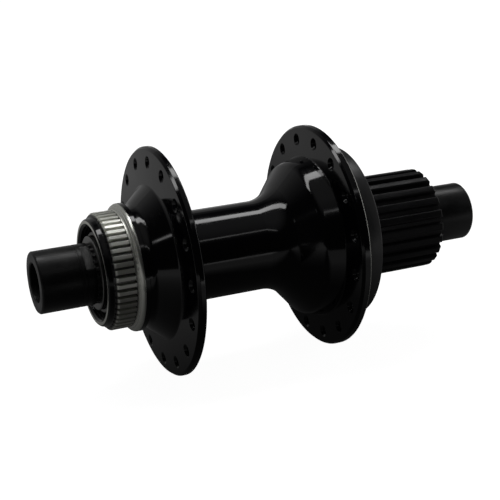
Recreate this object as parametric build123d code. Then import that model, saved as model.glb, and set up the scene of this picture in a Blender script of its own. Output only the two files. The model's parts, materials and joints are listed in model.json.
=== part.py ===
from build123d import *
import os
from math import cos, radians, sin, tan

# A rear bicycle hub for a through axle, as the set of pieces that it comes apart into.
# Millimetres. X runs along the axle line, with the brake side at -X and the drive side at +X, and Z is up.
# The origin is on the axle line, midway between the two ends. Each _r is a radius about the axle line.

# Overall sizes
over_locknut = 148.0
thru_axle_r = 6.05
axle_r = 7.5
flange_r = 35.85
barrel_r = 14.2
barrel_bore_r = 11.6

# Clearances
slip = 0.02
ball_play = 0.04
running_gap = 0.3

# Brake side: the mouth, the rotor splines and the collar, stationed from the left end
mouth_inset = 17.8
mouth_wall = 1.5
mouth_clearance = 0.619
thread_depth = 0.5
thread_pitch = 1.0
thread_length = 8.0
mouth_band = 2.3
rotor_spline_count = 52
rotor_spline_stand = 0.95
rotor_spline_height = 1.15
rotor_spline_length = 6.3
collar_stand = 1.75
collar_round = 2.2
collar_width = 3.4
neck_drop = 1.15
neck_groove = 1.2
neck_length = 7.9
web_step = 5.6

# Flanges and spoke holes
flange_face_drop = 0.8
flange_thickness = 2.6
flange_round = 0.7
spoke_hole_count = 16
spoke_hole_r = 1.3
spoke_sink = 0.45
spoke_edge = 4.35
left_hole_phase = 13.7
right_hole_phase = 2.0

# Drive side: the bell, the dust cover and the freehub body, stationed from the right end
freehub_inset = 16.0
freehub_stand = 29.1
cover_stand = 6.3
cover_width = 8.4
cover_wall = 1.2
bell_slope = 49.0
bell_round = 10.6
crown_round = 3.4
crown_wall = 4.4
crown_drop = 1.3
crown_length = 5.9
cassette_spline_count = 23
cassette_spline_height = 1.4
cassette_wall = 1.01
cassette_phase = 118.7
cassette_thread_length = 6.0
cassette_thread_wall = 0.9
cassette_thread_depth = 0.35

# Ratchet
ratchet_teeth = 36
ratchet_root_r = 19.5
ratchet_tooth = 1.4
ratchet_rim = 1.5
ratchet_clearance = 0.5
ratchet_lean = 1.2
ratchet_width = 6.5
pawl_count = 3
pawl_pivot_drop = 2.5
pawl_pivot_round = 1.2
pawl_reach = 20.0
pawl_blade = 1.4
pocket_clearance = 0.63
pawl_tip_gap = 1.0
pawl_width = 5.8
spring_wire_r = 0.3

# Bearings; each _track_wall is the least metal under a ball track
left_ball_r = 2.381
left_ball_count = 11
left_track_wall = 1.019
right_ball_r = 1.5875
right_ball_count = 15
right_track_wall = 0.7125
right_cup_wall = 0.5
row_ball_r = 1.19
row_ball_count = 20
row_track_wall = 0.8
row_cup_wall = 0.6

# Pieces on the axle
end_cap_wall = 2.0
cap_bore_depth = 10.0
flat_angle = 122.0
cone_wall = 1.5
washer_teeth = 24
bolt_clearance = 0.45
bolt_wall = 1.05
bolt_head_step = 0.91
bolt_head_length = 5.5
bolt_socket_splines = 12
carrier_spigot_wall = 1.39
washer_thickness = 0.6

# Radii that follow from the axle outwards, on the brake side
end_cap_r = axle_r + end_cap_wall
left_cone_r = axle_r + cone_wall
left_pitch_r = axle_r + left_track_wall + left_ball_r
left_cup_r = left_pitch_r + left_ball_r + row_cup_wall
thread_r = left_cup_r + mouth_clearance
mouth_r = thread_r + mouth_wall
rotor_root_r = mouth_r + rotor_spline_stand
rotor_tip_r = rotor_root_r + rotor_spline_height
collar_r = rotor_tip_r + collar_stand
neck_r = collar_r - neck_drop
web_step_r = neck_r + web_step

# Radii that follow from the axle outwards, on the drive side
right_pitch_r = axle_r + right_track_wall + right_ball_r
bolt_bore_r = axle_r + bolt_clearance
bolt_thread_r = bolt_bore_r + bolt_wall
bolt_head_r = bolt_thread_r + bolt_head_step
carrier_bore_r = bolt_head_r + running_gap
carrier_spigot_r = carrier_bore_r + carrier_spigot_wall
right_cup_r = right_pitch_r + right_ball_r + ball_play + right_cup_wall
row_pitch_r = max(carrier_bore_r + row_track_wall + row_ball_r, right_cup_r + 0.2)
carrier_tube_r = row_pitch_r - 0.2
row_cup_r = row_pitch_r + row_ball_r + row_cup_wall
row_bore_r = row_pitch_r + 0.3
cassette_root_r = row_cup_r + cassette_wall
cassette_tip_r = cassette_root_r + cassette_spline_height

# Radii that follow from the ratchet
ratchet_tip_r = ratchet_root_r - ratchet_tooth
ratchet_bore_r = ratchet_root_r + ratchet_rim + ratchet_clearance
crown_r = ratchet_bore_r + crown_wall
cover_r = ratchet_bore_r + cover_stand
carrier_r = ratchet_tip_r - ratchet_clearance
spring_ring_r = carrier_r - 0.7
pawl_pivot_r = ratchet_tip_r - pawl_pivot_drop
pawl_heel_r = pawl_pivot_r + pawl_blade

# Stations along the axle line
left_end = -over_locknut / 2
right_end = over_locknut / 2
mouth_x = left_end + mouth_inset
rotor_spline_x = mouth_x + mouth_band
rotor_seat_x = rotor_spline_x + rotor_spline_length
collar_end_x = rotor_seat_x + collar_width
left_web_x = collar_end_x + neck_length
left_face_x = left_web_x + flange_face_drop
freehub_end_x = right_end - freehub_inset
cover_end_x = freehub_end_x - freehub_stand
cover_x = cover_end_x - cover_width
right_face_x = cover_x - flange_thickness - flange_round
spoke_circle_r = flange_r - spoke_edge


def turned(*corners):
    """A solid turned about the axle line from (x, radius) corners; a third number rounds the corner."""
    points = [Vector(corner[0], 0, corner[1]) for corner in corners]
    rounds = [corner[2] if len(corner) > 2 else 0 for corner in corners]
    edges = []
    arcs = []
    for index, point in enumerate(points):
        if not rounds[index]:
            arcs.append((point, None, point))
            continue
        back = (points[index - 1] - point).normalized()
        ahead = (points[(index + 1) % len(points)] - point).normalized()
        half = radians(back.get_angle(ahead)) / 2
        reach = rounds[index] / tan(half)
        middle = (back + ahead).normalized() * (rounds[index] / sin(half) - rounds[index])
        arcs.append((point + back * reach, point + middle, point + ahead * reach))
    for index, (start, middle, end) in enumerate(arcs):
        if middle is not None:
            edges.append(Edge.make_three_point_arc(start, middle, end))
        edges.append(Edge.make_line(end, arcs[(index + 1) % len(arcs)][0]))
    return Part() + Solid.revolve(Face(Wire(edges)), 360, Axis.X)


def ring(x_start, x_end, inner_r, outer_r):
    """A plain ring about the axle line."""
    return turned((x_start, inner_r), (x_end, inner_r), (x_end, outer_r), (x_start, outer_r))


def disc(x_start, x_end, radius):
    """A plain round bar on the axle line."""
    return Pos((x_start + x_end) / 2, 0, 0) * Rot(0, 90, 0) * Cylinder(radius, x_end - x_start)


def race(x, pitch_r, ball_r):
    """The round track that a row of balls runs in, with its play."""
    return Pos(x, 0, 0) * Rot(0, 90, 0) * Torus(pitch_r, ball_r + ball_play)


def around(radius, angle):
    """The (y, z) place at an angle about the axle line, in degrees from +Y towards +Z."""
    return radius * cos(radians(angle)), radius * sin(radians(angle))


def prism(outline, x_start, x_end):
    """A solid with a flat (y, z) outline, standing between two stations."""
    wire = Wire.make_polygon([Vector(x_start, y, z) for y, z in outline])
    return Part() + Solid.extrude(Face(wire), Vector(x_end - x_start, 0, 0))


def toothed(count, root_r, tip_r, x_start, x_end, tip_share, flank_share, phase=0.0):
    """A splined bar: each pitch has a tip, two flanks and a valley. phase turns a tip's middle to that angle."""
    pitch = 360 / count
    half_tip = pitch * tip_share / 2
    half_valley = half_tip + pitch * flank_share
    outline = []
    for index in range(count):
        angle = phase + index * pitch
        outline.append(around(root_r, angle - half_valley))
        outline.append(around(tip_r, angle - half_tip))
        outline.append(around(tip_r, angle + half_tip))
        outline.append(around(root_r, angle + half_valley))
    return prism(outline, x_start, x_end)


def thread_grooves(x_start, x_end, crest_r, depth, pitch):
    """Rings to cut from a bore, which leave the crests of a thread."""
    grooves = []
    turns = int((x_end - x_start) / pitch)
    for turn in range(turns):
        x = x_start + (turn + 0.5) * pitch
        grooves.append(
            turned(
                (x - 0.45 * pitch, crest_r - slip),
                (x + 0.45 * pitch, crest_r - slip),
                (x + 0.15 * pitch, crest_r + depth),
                (x - 0.15 * pitch, crest_r + depth),
            )
        )
    return grooves


def balls(x, pitch_r, ball_r, count):
    """One row of balls, as separate solids."""
    ball = Pos(x, 0, pitch_r) * Sphere(ball_r)
    return Compound(children=[Rot(index * 360 / count, 0, 0) * ball for index in range(count)])


def retainer(x, pitch_r, ball_r, count, half_width, tail):
    """The pressed ring that keeps one row of balls apart; tail is how far it reaches past their centres."""
    short = 0.8 if tail > 0 else -0.8
    low, high = sorted((x - short, x + tail))
    body = ring(low, high, pitch_r - half_width, pitch_r + half_width)
    pocket = Pos(x, 0, pitch_r) * Cylinder(ball_r + ball_play, 6 * half_width)
    return body - [Rot(index * 360 / count, 0, 0) * pocket for index in range(count)]


# ---- Shell: one forging with the rotor splines, both flanges, the barrel and the bell ----

left_ball_x = mouth_x + 12.8
left_cup_x = rotor_seat_x + 0.1
left_cup_end_x = left_ball_x + 4.4
shell_floor_end_x = right_face_x - 5.2
shell_floor_x = shell_floor_end_x - 7.0
cover_spigot_r = cover_r - cover_wall - slip
cover_spigot_end_x = cover_x + 1.6


def shell_outline():
    """The outside of the shell, turned, without its rotor splines."""
    crown_x = right_face_x - crown_length
    rise = crown_r - crown_drop - barrel_r
    bell_x = crown_x - rise / tan(radians(bell_slope))
    left_back_x = left_face_x + flange_thickness
    right_back_x = right_face_x + flange_thickness
    return turned(
        (mouth_x, 0),
        (mouth_x, mouth_r),
        (mouth_x + 0.45, mouth_r + 0.45, 0.3),
        (rotor_spline_x, rotor_root_r),
        (rotor_seat_x, rotor_root_r),
        (rotor_seat_x, collar_r - collar_round + 0.3),
        (rotor_seat_x + 0.3, collar_r - collar_round + 0.45),
        (rotor_seat_x + 0.35 + collar_round / 2, collar_r, collar_round * 0.55),
        (collar_end_x, collar_r, 0.15),
        (collar_end_x, neck_r, 0.3),
        (collar_end_x + neck_groove + 0.8, neck_r, 2.2),
        (left_web_x - 0.25, web_step_r - 0.35, 0.5),
        (left_web_x, web_step_r),
        (left_face_x, flange_r - flange_round, 0.2),
        (left_face_x + 0.9, flange_r, 0.3),
        (left_back_x - 0.4, flange_r, 0.3),
        (left_back_x, flange_r - 0.5),
        (left_back_x + 0.5, barrel_r + 8.0),
        (left_back_x + 3.2, barrel_r, 5.0),
        (bell_x, barrel_r, bell_round),
        (crown_x, crown_r - crown_drop, crown_round),
        (right_face_x - 0.15, crown_r, 0.25),
        (right_face_x, crown_r + 0.35),
        (right_face_x + 0.3, flange_r - flange_round, 0.2),
        (right_face_x + 1.1, flange_r, 0.3),
        (right_back_x + 0.3, flange_r, 0.3),
        (right_back_x + flange_round, flange_r - 0.5),
        (cover_x, cover_spigot_r),
        (cover_spigot_end_x, cover_spigot_r),
        (cover_spigot_end_x, 0),
    )


def shell_bores():
    """What is bored out of the shell from both sides."""
    thread_end_x = mouth_x + thread_length
    cup_seat_r = left_cup_r + slip
    left_bore = turned(
        (mouth_x - 1, 0),
        (mouth_x - 1, thread_r + 1.7),
        (mouth_x + 0.7, thread_r),
        (thread_end_x, thread_r),
        (rotor_seat_x, cup_seat_r),
        (left_cup_end_x, cup_seat_r),
        (left_cup_end_x, barrel_bore_r),
        (shell_floor_x, barrel_bore_r, 1.0),
        (shell_floor_x, bolt_thread_r + slip),
        (shell_floor_end_x - 1.5, bolt_thread_r + slip),
        (shell_floor_end_x - 1.5, carrier_spigot_r + slip),
        (shell_floor_end_x, carrier_spigot_r + slip),
        (shell_floor_end_x, ratchet_bore_r, 0.6),
        (cover_spigot_end_x + 1, ratchet_bore_r),
        (cover_spigot_end_x + 1, 0),
    )
    return [left_bore] + thread_grooves(
        mouth_x + 0.7, thread_end_x - 0.3, thread_r, thread_depth, thread_pitch
    )


def spoke_holes(face_x, back_x, phase):
    """The round holes through one flange, each eased on both faces."""
    reach = back_x - face_x + 2.0
    middle_x = (face_x + back_x) / 2
    sink_r = spoke_hole_r + spoke_sink
    hole = Rot(0, 90, 0) * Cylinder(spoke_hole_r, reach)
    face_sink = Pos(face_x - middle_x, 0, 0) * Rot(0, 90, 0) * Cone(sink_r + 1, spoke_hole_r, spoke_sink + 1)
    back_sink = Pos(back_x - middle_x, 0, 0) * Rot(0, -90, 0) * Cone(sink_r + 1, spoke_hole_r, spoke_sink + 1)
    tool = hole + face_sink + back_sink
    places = [around(spoke_circle_r, phase + index * 360 / spoke_hole_count) for index in range(spoke_hole_count)]
    return [Pos(middle_x, y, z) * tool for y, z in places]


def hub_shell():
    """The shell whole."""
    splines = toothed(
        rotor_spline_count, rotor_root_r, rotor_tip_r, rotor_spline_x - 0.5, rotor_seat_x, 0.5, 0.12
    )
    rise = rotor_tip_r - rotor_root_r
    eased = turned(
        (rotor_spline_x - 0.55, rotor_root_r - 2),
        (rotor_spline_x - 0.55, rotor_root_r),
        (rotor_spline_x - 0.55 + rise, rotor_tip_r),
        (rotor_seat_x, rotor_tip_r),
        (rotor_seat_x, rotor_root_r - 2),
    )
    body = shell_outline() + (splines & eased)
    body -= shell_bores()
    web_depth = flange_face_drop * (spoke_circle_r - web_step_r) / (flange_r - web_step_r)
    body -= spoke_holes(left_web_x + web_depth, left_face_x + flange_thickness, left_hole_phase)
    body -= spoke_holes(right_face_x + 0.15, right_face_x + flange_thickness + flange_round, right_hole_phase)
    return body


# ---- Brake-side bearing, in the mouth of the shell ----

cone_shoulder = 0.7
dust_cap_r = left_pitch_r + 1.6
dust_cap_wall = 0.7
dust_cap_x = mouth_x + 1.7
dust_cap_seat_x = left_cup_x + 1.0
cone_shield_r = dust_cap_r - 1.15
left_shield_x = mouth_x
left_shield_end_x = left_shield_x + 0.8
left_washer_x = left_shield_x - 0.9
left_nut_x = left_washer_x - 3.0


def left_bearing_cup():
    """The hardened cup pressed into the shell, with a seat for the dust cap."""
    blank = turned(
        (left_cup_x, dust_cap_r + slip),
        (dust_cap_seat_x, dust_cap_r + slip),
        (dust_cap_seat_x, left_pitch_r + 0.8),
        (left_ball_x + 1.6, left_pitch_r + 0.8),
        (left_ball_x + 1.6, left_pitch_r - 0.5),
        (left_cup_end_x, left_pitch_r - 0.5),
        (left_cup_end_x, left_cup_r),
        (left_cup_x, left_cup_r),
    )
    return blank - race(left_ball_x, left_pitch_r, left_ball_r)


def left_dust_cap():
    """The pressed steel cap that closes the cup, with its lip turned in at the mouth."""
    inner_r = dust_cap_r - dust_cap_wall
    return turned(
        (dust_cap_x, inner_r - 0.35),
        (dust_cap_x + dust_cap_wall, inner_r - 0.35),
        (dust_cap_x + dust_cap_wall, inner_r),
        (dust_cap_seat_x, inner_r),
        (dust_cap_seat_x, dust_cap_r),
        (dust_cap_x, dust_cap_r, 0.4),
    )


def left_seal():
    """The rubber lip inside the dust cap, which clears the cone."""
    outer_r = dust_cap_r - dust_cap_wall - slip
    seal_x = dust_cap_x + dust_cap_wall + 0.2
    lip_r = left_cone_r + running_gap
    return turned(
        (seal_x, lip_r),
        (seal_x + 0.6, lip_r),
        (seal_x + 1.0, lip_r + 0.8),
        (seal_x + 1.8, lip_r + 0.8),
        (seal_x + 1.8, outer_r),
        (seal_x, outer_r),
    )


def left_cone():
    """The threaded cone that carries the brake-side balls."""
    inner_r = axle_r + slip
    shoulder_r = left_pitch_r - cone_shoulder
    blank = turned(
        (left_shield_end_x, inner_r),
        (left_ball_x + 1.6, inner_r),
        (left_ball_x + 1.6, left_pitch_r - left_ball_r + 0.4),
        (left_ball_x, left_pitch_r - left_ball_r + 0.4),
        (left_ball_x, shoulder_r),
        (left_ball_x - 3.6, shoulder_r),
        (left_ball_x - 4.9, left_cone_r),
        (left_shield_end_x, left_cone_r),
    )
    return blank - race(left_ball_x, left_pitch_r, left_ball_r)


def left_cone_shield():
    """The thin disc on the cone that covers the gap of the dust cap."""
    return turned(
        (left_shield_x, axle_r + slip),
        (left_shield_end_x, axle_r + slip),
        (left_shield_end_x, cone_shield_r),
        (left_shield_x + 0.2, cone_shield_r),
        (left_shield_x, cone_shield_r - 0.3),
    )


def left_lock_washer():
    """The serrated washer between the cone and its lock nut."""
    teeth = toothed(washer_teeth, end_cap_r - 0.9, end_cap_r - 0.25, left_washer_x, left_shield_x, 0.35, 0.15)
    return teeth - disc(left_washer_x - 1, left_shield_x + 1, axle_r + slip)


def left_lock_nut():
    """The lock nut, round with two wrench flats."""
    blank = ring(left_nut_x, left_washer_x, axle_r + slip, end_cap_r)
    flat_half = end_cap_r - 1.0
    length = left_washer_x - left_nut_x
    between = Rot(flat_angle, 0, 0) * Box(length + 1, 2 * flat_half, 3 * end_cap_r)
    return blank & (Pos((left_nut_x + left_washer_x) / 2, 0, 0) * between)


def end_cap(outer_x, inner_x, outward):
    """A tubular end cap: it steps onto the axle tube and guides the through axle."""
    edge = 0.45 * outward
    eased = 0.3 * outward
    step_x = outer_x - cap_bore_depth * outward
    return turned(
        (outer_x, thru_axle_r + 0.35),
        (outer_x - eased, thru_axle_r),
        (step_x, thru_axle_r),
        (step_x, axle_r + slip),
        (inner_x, axle_r + slip),
        (inner_x, end_cap_r),
        (outer_x - edge, end_cap_r),
        (outer_x, end_cap_r - 0.45),
    )


def axle_tube():
    """The hollow axle that both cones screw onto."""
    return ring(left_end + cap_bore_depth, right_end - cap_bore_depth, thru_axle_r, axle_r)


# ---- Drive side: fixing bolt, pawl carrier, freehub body ----

carrier_x = shell_floor_end_x - 1.5
carrier_seat_end_x = shell_floor_end_x + 1.0
ratchet_x = shell_floor_end_x + 1.5
ratchet_end_x = ratchet_x + ratchet_width
carrier_end_x = freehub_end_x - 7.5
right_ball_x = carrier_end_x - 3.5
inner_row_x = ratchet_end_x + 5.0
outer_row_x = right_ball_x - 5.6
pawl_x = ratchet_x + 0.2
pawl_end_x = pawl_x + pawl_width
spring_x = (pawl_x + pawl_end_x) / 2


def freehub_fixing_bolt():
    """The hollow bolt that holds the pawl carrier to the shell, with a splined socket in its head."""
    head_x = carrier_seat_end_x + washer_thickness
    head_end_x = head_x + bolt_head_length
    blank = turned(
        (shell_floor_x + 0.3, bolt_bore_r),
        (head_end_x, bolt_bore_r),
        (head_end_x, bolt_head_r),
        (head_x, bolt_head_r),
        (head_x, bolt_thread_r),
        (shell_floor_x + 0.8, bolt_thread_r),
        (shell_floor_x + 0.3, bolt_thread_r - 0.5),
    )
    socket = toothed(
        bolt_socket_splines, bolt_bore_r, bolt_bore_r + 0.7, head_end_x - 3.5, head_end_x + 1, 0.3, 0.1
    )
    return blank - socket


def freehub_washer():
    """The washer under the head of the fixing bolt."""
    return ring(
        carrier_seat_end_x, carrier_seat_end_x + washer_thickness, bolt_thread_r + 0.3, carrier_bore_r - 0.1
    )


def pawl_frame(index):
    """The turn that brings a piece drawn at the top of the ratchet round to its own pawl."""
    return Rot(index * 360 / pawl_count, 0, 0)


def pawl_tip_angle():
    """The angle of a pawl's tip about the axle line: a tooth's steep face, less a little."""
    return 90 + pawl_reach - pawl_tip_gap


def pocket_tool():
    """What is cut from the carrier for one pawl: a round seat and the room to swing."""
    floor = pawl_pivot_r - pawl_pivot_round - 0.05
    end_x = ratchet_end_x + 1
    far = -ratchet_root_r * sin(radians(pawl_reach)) - pocket_clearance
    top = carrier_r + 2
    swing = [(0, floor), (far, floor), (far - 1.1, top), (0.6, top), (0.6, pawl_pivot_r + 1)]
    room = prism(swing, pawl_x - 0.2, end_x)
    seat_r = pawl_pivot_round + 0.05
    seat = Pos(0, 0, pawl_pivot_r) * disc(pawl_x - 0.2, end_x, seat_r)
    return room + seat


def pawl(index):
    """One pawl: a round heel that turns in its seat and a square tip that meets a ratchet tooth."""
    tip_r = ratchet_root_r - 0.5
    tip = around(tip_r, pawl_tip_angle())
    heel = around(pawl_heel_r, pawl_tip_angle())
    top = (-0.1, pawl_pivot_r + pawl_pivot_round - 0.02)
    under = (-0.1, pawl_pivot_r - pawl_pivot_round + 0.02)
    blade = prism([top, tip, heel, under], pawl_x, pawl_end_x)
    barrel = Pos(0, 0, pawl_pivot_r) * disc(pawl_x, pawl_end_x, pawl_pivot_round)
    slot = ring(spring_x - 0.6, spring_x + 0.6, spring_ring_r - 2 * spring_wire_r, flange_r)
    return pawl_frame(index) * (blade + barrel - slot)


def pawl_spring():
    """The wire ring that lifts the pawls, in a groove round the carrier."""
    return Pos(spring_x, 0, 0) * Rot(0, 90, 0) * Torus(spring_ring_r, spring_wire_r)


def freehub_inner_body():
    """The fixed part of the freehub: pawl carrier, inner ball tracks and the drive-side bearing cup."""
    blank = turned(
        (carrier_x, bolt_thread_r + 0.3),
        (carrier_seat_end_x, bolt_thread_r + 0.3),
        (carrier_seat_end_x, carrier_bore_r),
        (right_ball_x - 1.0, carrier_bore_r),
        (right_ball_x - 1.0, right_pitch_r + 0.75),
        (carrier_end_x, right_pitch_r + 0.75),
        (carrier_end_x, carrier_tube_r, 0.2),
        (ratchet_end_x - 0.3, carrier_tube_r),
        (ratchet_end_x - 0.3, carrier_r),
        (shell_floor_end_x, carrier_r),
        (shell_floor_end_x, carrier_spigot_r),
        (carrier_x, carrier_spigot_r),
    )
    groove = ring(spring_x - 0.5, spring_x + 0.5, spring_ring_r - 1.2 * spring_wire_r, flange_r)
    body = blank - groove
    body -= race(right_ball_x, right_pitch_r, right_ball_r)
    body -= race(inner_row_x, row_pitch_r, row_ball_r)
    body -= race(outer_row_x, row_pitch_r, row_ball_r)
    return body - [pawl_frame(index) * pocket_tool() for index in range(pawl_count)]


def ratchet_ring():
    """The ring of internal saw teeth that the pawls drive."""
    pitch = 360 / ratchet_teeth
    outline = []
    for tooth in range(ratchet_teeth):
        steep = 90 + pawl_reach + tooth * pitch
        outline.append(around(ratchet_root_r, steep))
        outline.append(around(ratchet_tip_r, steep + ratchet_lean))
    inside = prism(outline, ratchet_x - 1, ratchet_end_x + 1)
    return disc(ratchet_x, ratchet_end_x, ratchet_root_r + ratchet_rim) - inside


cup_seat_x = outer_row_x - 2.4
cup_seat_end_x = outer_row_x + 2.4
cassette_crest_r = max(row_cup_r + 0.1, cassette_root_r - cassette_thread_wall)


def freehub_body():
    """The splined body that carries the cassette and turns on two rows of balls."""
    thread_x = freehub_end_x - cassette_thread_length
    flange_x = ratchet_end_x
    spline_stop_x = cover_end_x + 0.4
    blank = turned(
        (flange_x, row_bore_r),
        (cup_seat_x, row_bore_r),
        (cup_seat_x, row_cup_r + slip),
        (thread_x, row_cup_r + slip),
        (thread_x, cassette_crest_r),
        (freehub_end_x - 0.4, cassette_crest_r),
        (freehub_end_x, cassette_crest_r + 0.4),
        (freehub_end_x, cassette_root_r),
        (spline_stop_x, cassette_root_r),
        (spline_stop_x, cassette_tip_r),
        (flange_x + 2.4, cassette_tip_r, 0.8),
        (flange_x + 2.4, ratchet_root_r + ratchet_rim, 0.4),
        (flange_x, ratchet_root_r + ratchet_rim),
    )
    splines = toothed(
        cassette_spline_count,
        cassette_root_r - 0.02,
        cassette_tip_r,
        spline_stop_x,
        freehub_end_x,
        0.5,
        0.1,
        cassette_phase,
    )
    eased = turned(
        (spline_stop_x, cassette_root_r - 0.5),
        (spline_stop_x, cassette_tip_r + 0.1),
        (freehub_end_x - 0.5, cassette_tip_r + 0.1),
        (freehub_end_x, cassette_tip_r - 0.4),
        (freehub_end_x, cassette_root_r - 0.5),
    )
    hollow = disc(spline_stop_x - 1, freehub_end_x + 1, cassette_root_r - 0.5)
    body = blank + ((splines & eased) - hollow)
    body -= race(inner_row_x, row_pitch_r, row_ball_r)
    body -= thread_grooves(
        thread_x + 0.2, freehub_end_x - 0.5, cassette_crest_r, cassette_thread_depth, thread_pitch
    )
    return body


def freehub_bearing_cup():
    """The outer track of the outboard row of balls, a ring seated in the freehub body."""
    return ring(cup_seat_x, cup_seat_end_x, row_bore_r, row_cup_r) - race(outer_row_x, row_pitch_r, row_ball_r)


def freehub_cup_nut():
    """The slotted ring that locks the bearing cup in the freehub body."""
    nut_end_x = cup_seat_end_x + 2.2
    blank = ring(cup_seat_end_x, nut_end_x, row_bore_r, row_cup_r)
    slot = Pos(nut_end_x, 0, 0) * Box(2.0, 2.4, 3 * row_cup_r)
    return blank - [Rot(angle, 0, 0) * slot for angle in (0, 90)]


def freehub_rear_seal():
    """The rubber ring between the freehub body and the dust cover."""
    seal_end_x = cover_end_x - cover_wall - running_gap
    seal_x = seal_end_x - 1.8
    return turned(
        (seal_x, cassette_tip_r + slip),
        (seal_end_x, cassette_tip_r + slip),
        (seal_end_x, cassette_tip_r + 2.2),
        (seal_end_x - 0.5, cassette_tip_r + 2.2),
        (seal_end_x - 0.8, cassette_tip_r + 1.0),
        (seal_x, cassette_tip_r + 1.0),
    )


def drive_side_cover():
    """The drum that covers the ratchet on the drive side of the shell."""
    face_x = cover_end_x - cover_wall
    hole_r = cassette_tip_r + 0.6
    return turned(
        (cover_x, cover_r - cover_wall),
        (face_x, cover_r - cover_wall, 0.4),
        (face_x, hole_r),
        (cover_end_x, hole_r),
        (cover_end_x, cover_r, 0.5),
        (cover_x, cover_r),
    )


# ---- Drive-side cone and the pieces outboard of it ----

right_cone_end_x = freehub_end_x - 4.0
right_spacer_end_x = right_cone_end_x + 2.4
right_shoulder_r = right_pitch_r - 0.7


def right_cone():
    """The cone that carries the drive-side balls."""
    inner_r = axle_r + slip
    blank = turned(
        (right_ball_x - 1.2, inner_r),
        (right_cone_end_x, inner_r),
        (right_cone_end_x, right_shoulder_r),
        (right_ball_x, right_shoulder_r),
        (right_ball_x, right_pitch_r - right_ball_r + 0.3),
        (right_ball_x - 1.2, right_pitch_r - right_ball_r + 0.3),
    )
    return blank - race(right_ball_x, right_pitch_r, right_ball_r)


def right_cone_seal():
    """The rubber disc on the drive-side cone, which keeps dirt out of the freehub body."""
    seal_x = carrier_end_x + 0.5
    outer_r = row_cup_r - running_gap
    return turned(
        (seal_x, right_shoulder_r + slip),
        (seal_x + 1.4, right_shoulder_r + slip),
        (seal_x + 1.4, outer_r - 0.6),
        (seal_x + 0.9, outer_r),
        (seal_x + 0.4, outer_r),
        (seal_x + 0.4, outer_r - 0.6),
        (seal_x, outer_r - 1.4),
    )


def right_spacer():
    """The spacer between the drive-side cone and its end cap."""
    return ring(right_cone_end_x, right_spacer_end_x, axle_r + slip, end_cap_r - 0.4)


pieces = {
    "axle_tube": axle_tube(),
    "left_end_cap": end_cap(left_end, left_nut_x, -1),
    "left_lock_nut": left_lock_nut(),
    "left_lock_washer": left_lock_washer(),
    "left_cone_shield": left_cone_shield(),
    "left_cone": left_cone(),
    "right_cone": right_cone(),
    "right_cone_seal": right_cone_seal(),
    "right_spacer": right_spacer(),
    "right_end_cap": end_cap(right_end, right_spacer_end_x, 1),
    "hub_shell": hub_shell(),
    "left_bearing_cup": left_bearing_cup(),
    "left_dust_cap": left_dust_cap(),
    "left_seal": left_seal(),
    "drive_side_cover": drive_side_cover(),
    "freehub_fixing_bolt": freehub_fixing_bolt(),
    "freehub_washer": freehub_washer(),
    "freehub_inner_body": freehub_inner_body(),
    "pawl_spring": pawl_spring(),
    "freehub_body": freehub_body(),
    "ratchet_ring": ratchet_ring(),
    "freehub_bearing_cup": freehub_bearing_cup(),
    "freehub_cup_nut": freehub_cup_nut(),
    "freehub_rear_seal": freehub_rear_seal(),
    "left_balls": balls(left_ball_x, left_pitch_r, left_ball_r, left_ball_count),
    "left_ball_retainer": retainer(left_ball_x, left_pitch_r, left_ball_r, left_ball_count, 0.45, -2.9),
    "right_balls": balls(right_ball_x, right_pitch_r, right_ball_r, right_ball_count),
    "right_ball_retainer": retainer(right_ball_x, right_pitch_r, right_ball_r, right_ball_count, 0.4, 2.3),
    "inner_row_balls": balls(inner_row_x, row_pitch_r, row_ball_r, row_ball_count),
    "outer_row_balls": balls(outer_row_x, row_pitch_r, row_ball_r, row_ball_count),
}
for index in range(pawl_count):
    pieces[f"pawl_{index + 1}"] = pawl(index)

os.makedirs("parts", exist_ok=True)
for name, shape in pieces.items():
    export_step(shape, f"parts/{name}.step")
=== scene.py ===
"""Looks of a rear bicycle hub for a through axle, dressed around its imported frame.

The frame comes in metres, with the axle line on X, the brake side at -X and Z up.
Each modelled piece is a class, and its fields are sizes in millimetres and degrees.
The studio's places are in metres.
"""

from __future__ import annotations

import json
import logging
import math
from collections.abc import Callable
from dataclasses import dataclass, field
from enum import Enum
from functools import cache

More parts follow.
